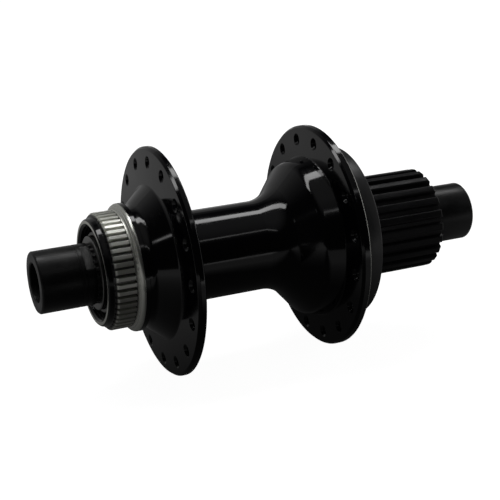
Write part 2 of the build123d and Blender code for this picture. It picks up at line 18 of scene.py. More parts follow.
import bmesh
import bpy
from bpy.types import Material, Node, NodeSocket, NodeTree, Object
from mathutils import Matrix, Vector

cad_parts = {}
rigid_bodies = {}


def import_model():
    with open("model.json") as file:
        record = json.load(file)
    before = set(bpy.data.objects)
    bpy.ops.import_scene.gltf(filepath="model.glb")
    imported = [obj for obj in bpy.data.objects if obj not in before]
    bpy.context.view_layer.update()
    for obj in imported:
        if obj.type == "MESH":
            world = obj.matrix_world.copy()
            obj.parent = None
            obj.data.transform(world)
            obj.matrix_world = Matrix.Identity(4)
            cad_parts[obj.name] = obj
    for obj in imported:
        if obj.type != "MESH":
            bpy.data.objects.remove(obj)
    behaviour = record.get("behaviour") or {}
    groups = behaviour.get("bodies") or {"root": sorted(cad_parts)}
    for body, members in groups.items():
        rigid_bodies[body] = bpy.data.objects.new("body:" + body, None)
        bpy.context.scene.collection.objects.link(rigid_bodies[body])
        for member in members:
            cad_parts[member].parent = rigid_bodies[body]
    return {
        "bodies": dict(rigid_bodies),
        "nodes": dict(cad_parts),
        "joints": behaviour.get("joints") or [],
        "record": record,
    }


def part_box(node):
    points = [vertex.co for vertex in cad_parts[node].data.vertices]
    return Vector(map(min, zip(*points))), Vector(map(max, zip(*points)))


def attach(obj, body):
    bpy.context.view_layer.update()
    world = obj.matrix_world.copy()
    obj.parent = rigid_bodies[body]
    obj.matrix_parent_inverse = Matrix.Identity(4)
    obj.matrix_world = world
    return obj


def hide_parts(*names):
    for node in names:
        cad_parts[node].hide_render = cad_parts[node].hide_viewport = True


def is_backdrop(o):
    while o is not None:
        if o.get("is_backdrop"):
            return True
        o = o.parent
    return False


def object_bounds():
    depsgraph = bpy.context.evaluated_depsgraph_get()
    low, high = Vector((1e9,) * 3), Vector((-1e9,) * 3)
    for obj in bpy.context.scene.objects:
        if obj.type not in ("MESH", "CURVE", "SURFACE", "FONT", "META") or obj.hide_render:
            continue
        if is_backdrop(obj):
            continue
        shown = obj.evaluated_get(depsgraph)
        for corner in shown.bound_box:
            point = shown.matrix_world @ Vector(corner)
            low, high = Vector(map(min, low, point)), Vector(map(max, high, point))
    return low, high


LOG = logging.getLogger("hub")
MM = 0.001
PER_METRE = 1000.0
Colour = tuple[float, float, float]


class Grain(Enum):
    """What a surface was left with by the tool that finished it."""

    TURNED = "turned"
    BLASTED = "blasted"
    POLISHED = "polished"
    MOULDED = "moulded"


# ---- Shader node groups: effects that several finishes share ----


class Effects:
    """The shared node groups, each built once and handed out again after that."""

    @staticmethod
    def maths(tree: NodeTree, operation: str, *values: object) -> NodeSocket:
        """Adds a Math node.

        Args:
            tree: the tree to add it to.
            operation: the Math node's operation.
            values: a number or an output socket for each input.

        Returns:
            The node's output.
        """
        node = tree.nodes.new("ShaderNodeMath")
        node.operation = operation
        for index, value in enumerate(values):
            if isinstance(value, NodeSocket):
                tree.links.new(value, node.inputs[index])
            else:
                node.inputs[index].default_value = value
        return node.outputs[0]

    @staticmethod
    def _start(
        name: str, takes: dict[str, float | None], gives: tuple[str, ...]
    ) -> tuple[NodeTree, Node, Node]:
        """Makes an empty group with its sockets.

        Args:
            name: the group's name.
            takes: its inputs, each with its value where nothing is linked, or None for a vector.
            gives: its outputs, which are all numbers.

        Returns:
            The group, its input node and its output node.
        """
        tree = bpy.data.node_groups.new(name, "ShaderNodeTree")
        given, out = tree.nodes.new("NodeGroupInput"), tree.nodes.new("NodeGroupOutput")
        for socket, value in takes.items():
            kind = "NodeSocketVector" if value is None else "NodeSocketFloat"
            made = tree.interface.new_socket(name=socket, in_out="INPUT", socket_type=kind)
            if value is not None:
                made.default_value = value
        for socket in gives:
            tree.interface.new_socket(name=socket, in_out="OUTPUT", socket_type="NodeSocketFloat")
        return tree, given, out

    @cache
    def axle_coordinates(self) -> NodeTree:
        """Where a point lies about the axle line.

        Returns:
            A group whose outputs are X and Radius in millimetres, and Angle in radians.
        """
        tree, _, out = self._start("axle_coordinates", {}, ("X", "Radius", "Angle"))
        place = tree.nodes.new("ShaderNodeTexCoord")
        split = tree.nodes.new("ShaderNodeSeparateXYZ")
        tree.links.new(place.outputs["Object"], split.inputs[0])
        x, y, z = (self.maths(tree, "MULTIPLY", side, PER_METRE) for side in split.outputs)
        across, up = (self.maths(tree, "MULTIPLY", side, side) for side in (y, z))
        squares = self.maths(tree, "ADD", across, up)
        tree.links.new(x, out.inputs["X"])
        tree.links.new(self.maths(tree, "SQRT", squares), out.inputs["Radius"])
        tree.links.new(self.maths(tree, "ARCTAN2", z, y), out.inputs["Angle"])
        return tree

    @cache
    def turning_marks(self) -> NodeTree:
        """Fine rings that a lathe leaves round the axle line.

        Returns:
            A group with inputs Pitch and Wander, and outputs Height and Streak.
        """
        axle = self.axle_coordinates()
        tree, given, out = self._start("turning_marks", {"Pitch": 0.2, "Wander": 0.3}, ("Height", "Streak"))
        where = tree.nodes.new("ShaderNodeGroup")
        where.node_tree = axle
        joined = tree.nodes.new("ShaderNodeCombineXYZ")
        ahead = self.maths(tree, "DIVIDE", where.outputs["X"], given.outputs["Pitch"])
        across = self.maths(tree, "DIVIDE", where.outputs["Radius"], given.outputs["Pitch"])
        drift = self.maths(tree, "MULTIPLY", where.outputs["Angle"], given.outputs["Wander"])
        tree.links.new(ahead, joined.inputs[0])
        tree.links.new(across, joined.inputs[1])
        tree.links.new(drift, joined.inputs[2])
        for output, size, detail in (("Height", 1.0, 3.0), ("Streak", 0.31, 2.0)):
            noise = tree.nodes.new("ShaderNodeTexNoise")
            noise.inputs["Scale"].default_value = size
            noise.inputs["Detail"].default_value = detail
            tree.links.new(joined.outputs[0], noise.inputs["Vector"])
            tree.links.new(noise.outputs["Fac"], out.inputs[output])
        return tree

    @cache
    def fine_grain(self) -> NodeTree:
        """The even tooth of a blasted, cast or moulded surface.

        Returns:
            A group with inputs Per millimetre and Detail, and outputs Height and Tone.
        """
        takes = {"Per millimetre": 4.0, "Detail": 2.0}
        tree, given, out = self._start("fine_grain", takes, ("Height", "Tone"))
        place = tree.nodes.new("ShaderNodeTexCoord")
        scale = self.maths(tree, "MULTIPLY", given.outputs["Per millimetre"], PER_METRE)
        for output, share in (("Height", 1.0), ("Tone", 0.08)):
            noise = tree.nodes.new("ShaderNodeTexNoise")
            tree.links.new(place.outputs["Object"], noise.inputs["Vector"])
            tree.links.new(self.maths(tree, "MULTIPLY", scale, share), noise.inputs["Scale"])
            tree.links.new(given.outputs["Detail"], noise.inputs["Detail"])
            tree.links.new(noise.outputs["Fac"], out.inputs[output])
        return tree

    @cache
    def handling(self) -> NodeTree:
        """Soft smears and sparse specks of dust that handling leaves.

        Returns:
            A group with inputs Smear size and Dust, and outputs Smear and Speck.
        """
        tree, given, out = self._start("handling", {"Smear size": 9.0, "Dust": 0.3}, ("Smear", "Speck"))
        place = tree.nodes.new("ShaderNodeTexCoord")
        smear = tree.nodes.new("ShaderNodeTexNoise")
        smear.inputs["Detail"].default_value = 3.0
        smear.inputs["Distortion"].default_value = 0.6
        tree.links.new(place.outputs["Object"], smear.inputs["Vector"])
        scale = self.maths(tree, "DIVIDE", PER_METRE, given.outputs["Smear size"])
        tree.links.new(scale, smear.inputs["Scale"])
        ramp = tree.nodes.new("ShaderNodeMapRange")
        ramp.interpolation_type = "SMOOTHSTEP"
        ramp.inputs["From Min"].default_value = 0.42
        ramp.inputs["From Max"].default_value = 0.68
        tree.links.new(smear.outputs["Fac"], ramp.inputs["Value"])
        tree.links.new(ramp.outputs[0], out.inputs["Smear"])
        specks = tree.nodes.new("ShaderNodeTexVoronoi")
        specks.inputs["Scale"].default_value = 520.0
        tree.links.new(place.outputs["Object"], specks.inputs["Vector"])
        near = self.maths(tree, "LESS_THAN", specks.outputs["Distance"], 0.07)
        chosen = self.maths(tree, "LESS_THAN", specks.outputs["Color"], given.outputs["Dust"])
        tree.links.new(self.maths(tree, "MULTIPLY", near, chosen), out.inputs["Speck"])
        return tree

    @cache
    def band(self) -> NodeTree:
        """A band between two stations and outside a radius, with crisp edges.

        Returns:
            A group with inputs From, To, Over and Edge in millimetres, and the output Mask.
        """
        axle = self.axle_coordinates()
        takes = {"From": 0.0, "To": 1.0, "Over": 0.0, "Edge": 0.05}
        tree, given, out = self._start("band", takes, ("Mask",))
        where = tree.nodes.new("ShaderNodeGroup")
        where.node_tree = axle
        sides = []
        for low, high in (
            (given.outputs["From"], where.outputs["X"]),
            (where.outputs["X"], given.outputs["To"]),
            (given.outputs["Over"], where.outputs["Radius"]),
        ):
            rise = self.maths(tree, "DIVIDE", self.maths(tree, "SUBTRACT", high, low), given.outputs["Edge"])
            node = tree.nodes.new("ShaderNodeClamp")
            tree.links.new(rise, node.inputs[0])
            sides.append(node.outputs[0])
        both = self.maths(tree, "MULTIPLY", sides[0], sides[1])
        tree.links.new(self.maths(tree, "MULTIPLY", both, sides[2]), out.inputs["Mask"])
        return tree

    @cache
    def edge_wear(self) -> NodeTree:
        """Where a rounded normal leaves the face's own, which is at an edge.

        Returns:
            A group with inputs Rounded normal, Breakup and Amount, and the output Mask.
        """
        takes = {"Rounded normal": None, "Breakup": 0.5, "Amount": 0.5}
        tree, given, out = self._start("edge_wear", takes, ("Mask",))
        own = tree.nodes.new("ShaderNodeNewGeometry")
        dot = tree.nodes.new("ShaderNodeVectorMath")
        dot.operation = "DOT_PRODUCT"
        tree.links.new(own.outputs["Normal"], dot.inputs[0])
        tree.links.new(given.outputs["Rounded normal"], dot.inputs[1])
        ramp = tree.nodes.new("ShaderNodeMapRange")
        ramp.interpolation_type = "SMOOTHSTEP"
        ramp.inputs["From Min"].default_value = 0.995
        ramp.inputs["From Max"].default_value = 0.86
        tree.links.new(dot.outputs["Value"], ramp.inputs["Value"])
        broken = self.maths(tree, "MULTIPLY", ramp.outputs[0], given.outputs["Breakup"])
        tree.links.new(self.maths(tree, "MULTIPLY", broken, given.outputs["Amount"]), out.inputs["Mask"])
        return tree


EFFECTS = Effects()


# ---- Finishes ----


class Tree:
    """A material's node tree, with short ways to add and join nodes."""

    def __init__(self, name: str) -> None:
        """Makes a material that holds only a Principled shader and an output.

        Args:
            name: the material's name.
        """
        self.material = bpy.data.materials.new(name)
        self.material.use_nodes = True
        self.tree = self.material.node_tree
        self.shader = self.tree.nodes["Principled BSDF"]

    def add(self, kind: str) -> Node:
        """Adds a shader node of that kind."""
        return self.tree.nodes.new("ShaderNode" + kind)

    def group(self, tree: NodeTree, **values: float) -> Node:
        """Places a shared group.

        Args:
            tree: the group.
            values: its inputs by name, with _ for a space.

        Returns:
            The group's node.
        """
        node = self.add("Group")
        node.node_tree = tree
        for name, value in values.items():
            node.inputs[name.replace("_", " ")].default_value = value
        return node

    def link(self, start: NodeSocket, end: NodeSocket) -> None:
        """Joins an output to an input."""
        self.tree.links.new(start, end)

    def spread(self, value: NodeSocket, low: float, high: float) -> NodeSocket:
        """Maps a noise value, which stays near its middle, onto a range.

        Args:
            value: the noise.
            low: what its dark end becomes.
            high: what its light end becomes.

        Returns:
            The mapped value.
        """
        node = self.add("MapRange")
        node.inputs["From Min"].default_value = 0.3
        node.inputs["From Max"].default_value = 0.7
        node.inputs["To Min"].default_value = low
        node.inputs["To Max"].default_value = high
        self.link(value, node.inputs["Value"])
        return node.outputs[0]

    def blend(
        self, mask: NodeSocket, low: object, high: object, kind: str = "RGBA"
    ) -> NodeSocket:
        """Mixes two colours, two values or two normals by a mask.

        Args:
            mask: 0 for low and 1 for high.
            low: a colour, a value or an output.
            high: the same at the mask's other end.
            kind: RGBA, FLOAT or VECTOR.

        Returns:
            The mixed output.
        """
        node = self.add("Mix")
        node.data_type = kind
        first, second, result = {"RGBA": (6, 7, 2), "FLOAT": (2, 3, 0), "VECTOR": (4, 5, 1)}[kind]
        self.link(mask, node.inputs[0])
        for index, value in ((first, low), (second, high)):
            if isinstance(value, NodeSocket):
                self.link(value, node.inputs[index])
            else:
                node.inputs[index].default_value = (*value, 1.0) if kind == "RGBA" else value
        return node.outputs[result]

    def bump(
        self, height: NodeSocket, depth: float, strength: float, normal: NodeSocket
    ) -> NodeSocket:
        """Adds a Bump node.

        Args:
            height: the height, 0 to 1.
            depth: how deep that is, in millimetres.
            strength: the Bump node's strength.
            normal: the normal to start from.

        Returns:
            The bumped normal.
        """
        node = self.add("Bump")
        node.inputs["Distance"].default_value = depth * MM
        node.inputs["Strength"].default_value = strength
        self.link(height, node.inputs["Height"])
        self.link(normal, node.inputs["Normal"])
        return node.outputs[0]

    def rounded(self, radius: float) -> NodeSocket:
        """The normal with every edge eased by a radius in millimetres."""
        node = self.add("Bevel")
        node.samples = 6
        node.inputs["Radius"].default_value = radius * MM
        return node.outputs[0]


@dataclass(frozen=True)
class Finish:
    """One finish, whole: its colours, its sheen and what its tool left."""

    name: str
    colour: Colour
    shade: Colour
    roughness: float
    roughness_spread: float
    grain: Grain
    grain_size: float
    depth: float
    metallic: float = 0.0
    strength: float = 0.35
    edge_colour: Colour = (0.30, 0.30, 0.30)
    edge_amount: float = 0.4
    edge_round: float = 0.12
    dust: float = 0.12
    dust_gain: float = 3.5
    dust_lift: float = 0.03
    smear_size: float = 9.0
    smear_gain: float = 1.6
    least_breakup: float = 0.55
    specular: float = 0.5

    def _texture(self, tree: Tree) -> tuple[NodeSocket, NodeSocket]:
        """Places the grain.

        Args:
            tree: the material.

        Returns:
            The grain's height and its slow change of tone.
        """
        if self.grain is Grain.TURNED:
            node = tree.group(EFFECTS.turning_marks(), Pitch=self.grain_size, Wander=0.35)
            return node.outputs["Height"], node.outputs["Streak"]
        detail = {Grain.BLASTED: 3.0, Grain.POLISHED: 1.0, Grain.MOULDED: 2.0}[self.grain]
        node = tree.group(EFFECTS.fine_grain(), Per_millimetre=1.0 / self.grain_size, Detail=detail)
        return node.outputs["Height"], node.outputs["Tone"]

    def make(self) -> Material:
        """Builds the material.

        Returns:
            The material, ready for a slot.
        """
        tree = Tree(self.name)
        height, tone = self._texture(tree)
        marks = tree.group(EFFECTS.handling(), Smear_size=self.smear_size, Dust=self.dust)
        soft = tree.rounded(self.edge_round)
        wear = tree.group(EFFECTS.edge_wear(), Amount=self.edge_amount)
        tree.link(soft, wear.inputs["Rounded normal"])
        tree.link(tree.spread(tone, self.least_breakup, 1.0), wear.inputs["Breakup"])
        base = tree.blend(tree.spread(tone, 0.0, 1.0), self.shade, self.colour)
        worn = tree.blend(wear.outputs["Mask"], base, self.edge_colour)
        speck = tuple(min(1.0, self.dust_gain * c + self.dust_lift) for c in self.colour)
        dusty = tree.blend(marks.outputs["Speck"], worn, speck)
        tree.link(dusty, tree.shader.inputs["Base Color"])
        low, high = self.roughness - self.roughness_spread, self.roughness + self.roughness_spread
        grainy = tree.spread(tone, low, high)
        duller = min(1.0, self.roughness + self.smear_gain * self.roughness_spread)
        smeared = tree.blend(marks.outputs["Smear"], grainy, duller, "FLOAT")
        tree.link(smeared, tree.shader.inputs["Roughness"])
        tree.link(tree.bump(height, self.depth, self.strength, soft), tree.shader.inputs["Normal"])
        tree.shader.inputs["Metallic"].default_value = self.metallic
        tree.shader.inputs["Specular IOR Level"].default_value = self.specular
        return tree.material


@dataclass(frozen=True)
class Bare:
    """A band of the shell that is machined back to the metal.

    It lies between two stations and outside a radius; edge is how softly it starts.
    """

    start: float
    end: float
    over: float
    edge: float = 0.03


@dataclass(frozen=True)
class ShellFinish(Finish):
    """Gloss black over the shell, with bands machined back to bare aluminium."""

    metal: Colour = (0.84, 0.845, 0.785)
    metal_shade: Colour = (0.62, 0.625, 0.575)
    turned_roughness: tuple[float, float] = (0.20, 0.37)
    milled_roughness: tuple[float, float] = (0.36, 0.44)
    mark_pitch: float = 0.22
    mark_depth: float = 0.02
    mark_strength: float = 0.6
    speck: Colour = (0.05, 0.05, 0.05)
    smear_size: float = 14.0
    least_breakup: float = 0.4
    bands: tuple[Bare, ...] = ()
    marked: Bare = Bare(-47.62, -44.0, 16.4)

    @staticmethod
    def _mask(tree: Tree, zone: Bare) -> NodeSocket:
        """The mask of one band.

        Args:
            tree: the material.
            zone: the band.

        Returns:
            1 inside the band and 0 outside.
        """
        node = tree.group(EFFECTS.band(), From=zone.start, To=zone.end, Over=zone.over, Edge=zone.edge)
        return node.outputs["Mask"]

    def make(self) -> Material:
        """Builds the material.

        Returns:
            The material, ready for a slot.
        """
        tree = Tree(self.name)
        height, tone = self._texture(tree)
        marks = tree.group(EFFECTS.handling(), Smear_size=self.smear_size, Dust=self.dust)
        soft = tree.rounded(self.edge_round)
        wear = tree.group(EFFECTS.edge_wear(), Amount=self.edge_amount)
        tree.link(soft, wear.inputs["Rounded normal"])
        tree.link(tree.spread(tone, self.least_breakup, 1.0), wear.inputs["Breakup"])
        rings = tree.group(EFFECTS.turning_marks(), Pitch=self.mark_pitch, Wander=0.25)
        bare = self._mask(tree, self.bands[0])
        for zone in self.bands[1:]:
            bare = EFFECTS.maths(tree.tree, "MAXIMUM", bare, self._mask(tree, zone))
        black = tree.blend(tree.spread(tone, 0.0, 1.0), self.shade, self.colour)
        black = tree.blend(wear.outputs["Mask"], black, self.edge_colour)
        black = tree.blend(marks.outputs["Speck"], black, self.speck)
        marked = self._mask(tree, self.marked)
        streak = tree.blend(marked, tone, rings.outputs["Streak"], "FLOAT")
        metal = tree.blend(tree.spread(streak, 0.0, 1.0), self.metal_shade, self.metal)
        tree.link(tree.blend(bare, black, metal), tree.shader.inputs["Base Color"])
        tree.link(bare, tree.shader.inputs["Metallic"])
        duller = self.roughness + self.roughness_spread
        gloss = tree.blend(marks.outputs["Smear"], self.roughness, duller, "FLOAT")
        turned = tree.spread(rings.outputs["Streak"], *self.turned_roughness)
        milled = tree.spread(tone, *self.milled_roughness)
        dull = tree.blend(marked, milled, turned, "FLOAT")
        tree.link(tree.blend(bare, gloss, dull, "FLOAT"), tree.shader.inputs["Roughness"])
        peel = tree.bump(height, self.depth, self.strength, soft)
        groove = EFFECTS.maths(tree.tree, "MULTIPLY", rings.outputs["Height"], marked)
        ringed = tree.bump(groove, self.mark_depth, self.mark_strength, soft)
        tree.link(tree.blend(bare, peel, ringed, "VECTOR"), tree.shader.inputs["Normal"])
        return tree.material


FINISHES: dict[str, Finish] = {
    "shell_black": ShellFinish(
        name="gloss_black_shell",
        colour=(0.0020, 0.0020, 0.0030),
        shade=(0.0014, 0.0014, 0.0022),
        roughness=0.085,
        roughness_spread=0.05,
        grain=Grain.POLISHED,
        grain_size=1.6,
        depth=0.02,
        strength=0.12,
        edge_colour=(0.03, 0.03, 0.032),
        edge_amount=0.5,
        edge_round=0.16,
        dust=0.03,
        bands=(
            Bare(-60.0, -56.14, 10.0),
            # The spline band starts above 16.88 mm with a soft edge, so the spline valleys and lower flanks
            # keep the gloss black: painted shade in the grooves.
            Bare(-53.95, -47.7, 16.88, 0.32),
            Bare(-47.7, -45.7, 16.4),
            Bare(20.12, 20.42, 35.3),
        ),
    ),
    "cover_black": Finish(
        name="satin_black_cover",
        colour=(0.0085, 0.0085, 0.0095),
        shade=(0.0065, 0.0065, 0.0075),
        roughness=0.33,
        roughness_spread=0.05,
        grain=Grain.TURNED,
        grain_size=0.3,
        depth=0.008,
        strength=0.25,
        edge_colour=(0.05, 0.05, 0.05),
        edge_amount=0.5,
    ),
    "freehub_black": Finish(
        name="hard_black_freehub",
        colour=(0.0080, 0.0080, 0.0088),
        shade=(0.0056, 0.0056, 0.0063),
        roughness=0.40,
        roughness_spread=0.06,
        grain=Grain.BLASTED,
        grain_size=0.16,
        depth=0.02,
        edge_colour=(0.05, 0.05, 0.05),
        edge_amount=0.25,
        specular=0.15,
    ),
    "cap_black": Finish(
        name="satin_black_cap",
        colour=(0.0080, 0.0080, 0.0082),
        shade=(0.0055, 0.0055, 0.0057),
        roughness=0.33,
        roughness_spread=0.05,
        grain=Grain.BLASTED,
        grain_size=0.14,
        depth=0.003,
        edge_colour=(0.06, 0.06, 0.06),
        specular=0.30,
    ),
    # The flats are rougher and speckled, and their grey is lighter than the round's black. The lighter grey is
    # painted light that stands in for the light falling on the flats.
    "sawn_flat_painted_light": Finish(
        name="sawn_black_flat_painted_light",
        colour=(0.055, 0.055, 0.054),
        shade=(0.012, 0.012, 0.012),
        roughness=0.5,
        roughness_spread=0.12,
        grain=Grain.BLASTED,
        grain_size=0.42,
        depth=0.12,
        strength=0.6,
        edge_amount=0.2,
        dust=0.0,
    ),
    "axle_steel": Finish(
        name="drawn_axle_steel",
        colour=(0.42, 0.42, 0.43),
        shade=(0.30, 0.30, 0.31),
        roughness=0.34,
        roughness_spread=0.07,
        grain=Grain.TURNED,
        grain_size=0.25,
        depth=0.02,
        metallic=1.0,
    ),
    "nut_steel": Finish(
        name="oxide_black_nut",
        colour=(0.045, 0.045, 0.044),
        shade=(0.018, 0.018, 0.018),
        roughness=0.42,
        roughness_spread=0.10,
        grain=Grain.BLASTED,
        grain_size=0.30,
        depth=0.05,
        edge_amount=0.35,
    ),
    "race_steel": Finish(
        name="ground_race_steel",
        colour=(0.55, 0.55, 0.56),
        shade=(0.42, 0.42, 0.43),
        roughness=0.16,
        roughness_spread=0.05,
        grain=Grain.TURNED,
        grain_size=0.12,
        depth=0.006,
        metallic=1.0,
    ),
    "ball_steel": Finish(
        name="polished_ball_steel",
        colour=(0.66, 0.66, 0.67),
        shade=(0.62, 0.62, 0.63),
        roughness=0.05,
        roughness_spread=0.02,
        grain=Grain.POLISHED,
        grain_size=0.6,
        depth=0.002,
        metallic=1.0,
        dust=0.0,
    ),
    "shield_steel": Finish(
        name="pressed_shield_steel",
        colour=(0.26, 0.26, 0.25),
        shade=(0.16, 0.16, 0.155),
        roughness=0.34,
        roughness_spread=0.08,
        grain=Grain.TURNED,
        grain_size=0.35,
        depth=0.02,
        metallic=1.0,
    ),
    "retainer_steel": Finish(
        name="pressed_retainer_steel",
        colour=(0.46, 0.45, 0.42),
        shade=(0.33, 0.32, 0.30),
        roughness=0.3,
        roughness_spread=0.08,
        grain=Grain.BLASTED,
        grain_size=0.4,
        depth=0.01,
        metallic=1.0,
    ),
    "seal_rubber": Finish(
        name="moulded_seal_rubber",
        colour=(0.016, 0.016, 0.017),
        shade=(0.010, 0.010, 0.011),
        roughness=0.68,
        roughness_spread=0.08,
        grain=Grain.MOULDED,
        grain_size=0.12,
        depth=0.02,
        edge_amount=0.0,
        edge_round=0.08,
    ),
    "spring_steel": Finish(
        name="drawn_spring_steel",
        colour=(0.40, 0.39, 0.37),
        shade=(0.28, 0.27, 0.26),
        roughness=0.24,
        roughness_spread=0.06,
        grain=Grain.BLASTED,
        grain_size=0.3,
        depth=0.006,
        metallic=1.0,
        edge_amount=0.0,
    ),
}


class Paint:
    """Hands out one material for each of the record's slots."""

    def __init__(self, record: dict) -> None:
        """Reads which node takes which slot.

        Args:
            record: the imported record.
        """
        self._made: dict[str, Material] = {}
        self.slot_of = {row["node"]: row["material_slot"] for row in record["subparts"]}

    def material(self, slot: str) -> Material:
        """The material of a slot, built the first time."""
        if slot not in self._made:
            self._made[slot] = FINISHES[slot].make()
        return self._made[slot]

    def dress(self, obj: Object, slot: str) -> None:
        """Gives an object that slot's material, all over."""
        obj.data.materials.clear()
        obj.data.materials.append(self.material(slot))


# ---- Modelling bench ----


class Bench:
    """Blender's own modelling tools, with places in metres and what to select picked in code."""

    @staticmethod
    def clear() -> None:
        """Leaves edit mode and lets go of every object."""
        if bpy.context.mode != "OBJECT":
            bpy.ops.object.mode_set(mode="OBJECT")
        bpy.ops.object.select_all(action="DESELECT")

    @staticmethod
    def pick(mode: str, wanted: Callable[[object], bool]) -> None:
        """Selects parts of the mesh in edit mode.

        Args:
            mode: VERT, EDGE or FACE.
            wanted: called with each part, and true for those to select.
        """
        bpy.ops.mesh.select_mode(type=mode)
        bpy.ops.mesh.select_all(action="DESELECT")
        mesh = bmesh.from_edit_mesh(bpy.context.object.data)
        parts = {"VERT": mesh.verts, "EDGE": mesh.edges, "FACE": mesh.faces}[mode]
        parts.ensure_lookup_table()
        for part in parts:
            if wanted(part):
                part.select_set(True)
        mesh.select_flush_mode()
        bmesh.update_edit_mesh(bpy.context.object.data)

    @classmethod
    def turn(cls, name: str, outline: list[tuple[float, float]], steps: int = 144) -> Object:
        """Turns a closed outline round the axle line.

        Args:
            name: the piece's name.
            outline: (x, radius) corners in millimetres, in order.
            steps: how many faces go round.

        Returns:
            The turned piece, with sharp corners.
        """
        cls.clear()
        bpy.ops.mesh.primitive_plane_add(size=MM, location=(0, 0, 0))
        obj = bpy.context.object
        obj.name = obj.data.name = name
        bpy.ops.object.mode_set(mode="EDIT")
        bpy.ops.mesh.select_all(action="SELECT")
        bpy.ops.mesh.merge(type="CENTER")
        bpy.ops.transform.translate(value=(outline[0][0] * MM, 0, outline[0][1] * MM))
        for (x, r), (next_x, next_r) in zip(outline, outline[1:]):
            move = ((next_x - x) * MM, 0, (next_r - r) * MM)
            bpy.ops.mesh.extrude_region_move(TRANSFORM_OT_translate={"value": move})
        cls.pick("VERT", lambda vertex: len(vertex.link_edges) < 2)
        bpy.ops.mesh.edge_face_add()
        bpy.ops.mesh.select_all(action="SELECT")
        bpy.ops.mesh.spin(steps=steps, angle=2 * math.pi, center=(0, 0, 0), axis=(1, 0, 0))
        bpy.ops.mesh.select_all(action="SELECT")
        bpy.ops.mesh.remove_doubles(threshold=0.002 * MM)
        bpy.ops.mesh.normals_make_consistent(inside=False)
        bpy.ops.object.mode_set(mode="OBJECT")
        return obj

    @staticmethod
    def ease(obj: Object, width: float, segments: int = 3, angle: float = 28.0) -> None:
        """Rounds a piece's edges and smooths its faces.

        Args:
            obj: the piece.
            width: the round's width in millimetres.
            segments: how many faces make the round.
            angle: edges sharper than this many degrees are rounded.
        """
        bpy.context.view_layer.objects.active = obj
        obj.select_set(True)
        bevel = obj.modifiers.new("ease", "BEVEL")
        bevel.width = width * MM
        bevel.segments = segments
        bevel.limit_method = "ANGLE"
        bevel.angle_limit = math.radians(angle)
        bpy.ops.object.modifier_apply(modifier=bevel.name)
        bpy.ops.object.shade_smooth_by_angle(angle=math.radians(32))

    @classmethod
    def join(cls, pieces: list[Object]) -> Object:
        """Joins pieces into the first of them and puts its origin on the frame's.

        Args:
            pieces: the pieces, the one that keeps its name first.

        Returns:
            The joined piece.
        """
        cls.clear()
        for piece in pieces:
            piece.select_set(True)
        bpy.context.view_layer.objects.active = pieces[0]
        if len(pieces) > 1:
            bpy.ops.object.join()
        bpy.ops.object.transform_apply(location=True, rotation=True, scale=True)
        return pieces[0]


# ---- Sub-assemblies ----


def stations(node: str) -> tuple[float, float, float]:
    """A node's start and end along the axle line, and its radius.

    Args:
        node: the frame's node.

    Returns:
        The two stations and the radius, in millimetres.
    """
    low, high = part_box(node)
    return low.x / MM, high.x / MM, max(high.y, high.z) / MM


@dataclass
class EndCap:
    """A tubular end cap with a guided bore, an eased mouth and a relief groove by its shoulder."""

    node: str
    name: str
    outward: int
    bore_r: float = 6.05
    seat_r: float = 7.52
    seat_depth: float = 10.0
    mouth_chamfer: float = 0.35
    rim_chamfer: float = 0.45
    groove_inset: float = 1.1
    groove_width: float = 0.5
    groove_depth: float = 0.14

    def build(self, bench: type[Bench], paint: Paint) -> Object:
        """Turns the cap and dresses it.

        Args:
            bench: the modelling tools.
            paint: the materials.

        Returns:
            The cap.
        """
        start, end, radius = stations(self.node)
        outer, inner = (start, end) if self.outward < 0 else (end, start)
        way = self.outward
        step = outer - self.seat_depth * way
        groove = inner + self.groove_inset * way
        groove_end = groove + self.groove_width * way
        outline = [
            (outer, self.bore_r + self.mouth_chamfer),
            (outer - self.mouth_chamfer * way, self.bore_r),
            (step, self.bore_r),
            (step, self.seat_r),
            (inner, self.seat_r),
            (inner, radius),
            (groove, radius),
            (groove, radius - self.groove_depth),
            (groove_end, radius - self.groove_depth),
            (groove_end, radius),
            (outer - self.rim_chamfer * way, radius),
            (outer, radius - self.rim_chamfer),
        ]
        cap = bench.turn(self.name, outline)
        bench.ease(cap, 0.07)
        paint.dress(cap, paint.slot_of[self.node])
        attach(cap, "axle")
        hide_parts(self.node)
        return cap


@dataclass
class LockNut:
    """The brake-side lock nut: round, with two flats for a cone spanner and eased shoulders."""

    node: str = "left_lock_nut"
    name: str = "lock_nut"
    radius: float = 9.5
    bore_r: float = 7.52
    across_flats: float = 17.0
    flat_angle: float = 122.0
    shoulder: float = 0.14
    finish: str = "cap_black"
    flat_finish: str = "sawn_flat_painted_light"

    def build(self, bench: type[Bench], paint: Paint) -> Object:
        """Turns the nut, saws its flats and dresses it.

        Args:
            bench: the modelling tools.
            paint: the materials.

        Returns:
            The nut.
        """
        start, end, _ = stations(self.node)
        outline = [
            (start, self.bore_r),
            (end, self.bore_r),
            (end, self.radius - self.shoulder),
            (end - self.shoulder, self.radius),
            (start + self.shoulder, self.radius),
            (start, self.radius - self.shoulder),
        ]
        nut = bench.turn(self.name, outline)
        bpy.ops.object.mode_set(mode="EDIT")
        for side in (0, 180):
            angle = math.radians(self.flat_angle + side)
            normal = (0.0, math.cos(angle), math.sin(angle))
            place = [c * 0.5 * self.across_flats * MM for c in normal]
            bpy.ops.mesh.select_all(action="SELECT")
            bpy.ops.mesh.bisect(plane_co=place, plane_no=normal, use_fill=True, clear_outer=True)
        bpy.ops.object.mode_set(mode="OBJECT")
        bench.ease(nut, 0.05, segments=2)
        paint.dress(nut, self.finish)
        # The flats take the rougher finish, whose lighter grey is painted light for the light they catch.
        nut.data.materials.append(paint.material(self.flat_finish))
        angle = math.radians(self.flat_angle)
        across = Vector((0.0, math.cos(angle), math.sin(angle)))
        for face in nut.data.polygons:
            if abs(face.normal.dot(across)) > 0.999:
                face.material_index = 1
        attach(nut, "axle")
        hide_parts(self.node)
        return nut


